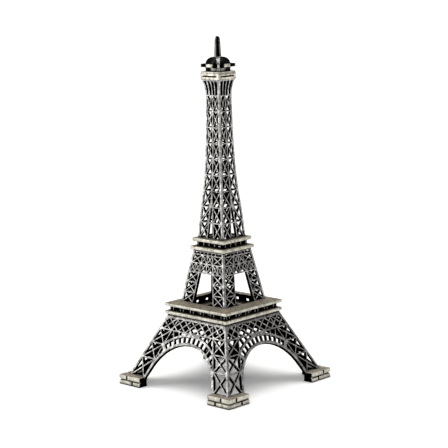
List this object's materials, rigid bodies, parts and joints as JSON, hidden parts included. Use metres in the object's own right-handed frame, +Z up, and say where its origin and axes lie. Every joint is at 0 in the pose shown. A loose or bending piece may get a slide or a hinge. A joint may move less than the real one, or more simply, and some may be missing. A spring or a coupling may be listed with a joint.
{
  "type": "miniature lattice tower",
  "caption": "Die-cast souvenir tower: lattice legs with arches on masonry feet, galleried floors, tapering lattice shaft, lantern and mast.",
  "frame": {"origin": "middle of the square of feet, on the surface they stand on", "axes": "+Z up along the tower's axis; front face looks along -Y, right face along +X"},
  "size_m": [0.0654, 0.0654, 0.15],
  "materials": {
    "antiqued_lattice": "antiqued zinc: silver-grey raised bars over black recesses",
    "antiqued_floor": "warm beige antique wash over zinc",
    "dark_antique": "black antique wash over zinc",
    "plain_zinc": "bare cast pin, hidden"
  },
  "bodies": {
    "root": {"foot_front_right": "antiqued_floor", "foot_back_right": "antiqued_floor", "foot_back_left": "antiqued_floor", "foot_front_left": "antiqued_floor", "lower_side_front": "antiqued_lattice", "lower_side_right": "antiqued_lattice", "lower_side_back": "antiqued_lattice", "lower_side_left": "antiqued_lattice", "first_floor_lower_slab": "antiqued_floor", "first_floor_upper_slab": "antiqued_floor", "first_floor_gallery": "antiqued_lattice", "first_floor_dowels": "plain_zinc", "mid_side_front": "antiqued_lattice", "mid_side_right": "antiqued_lattice", "mid_side_back": "antiqued_lattice", "mid_side_left": "antiqued_lattice", "second_floor_lower_slab": "antiqued_floor", "second_floor_upper_slab": "antiqued_floor", "second_floor_gallery": "antiqued_lattice", "second_floor_dowels": "plain_zinc", "shaft_side_front": "antiqued_lattice", "shaft_side_right": "antiqued_lattice", "shaft_side_back": "antiqued_lattice", "shaft_side_left": "antiqued_lattice", "top_gallery_floor": "antiqued_floor", "lantern": "dark_antique", "balcony_plate": "antiqued_floor", "mast": "antiqued_lattice"}
  },
  "joints": []
}
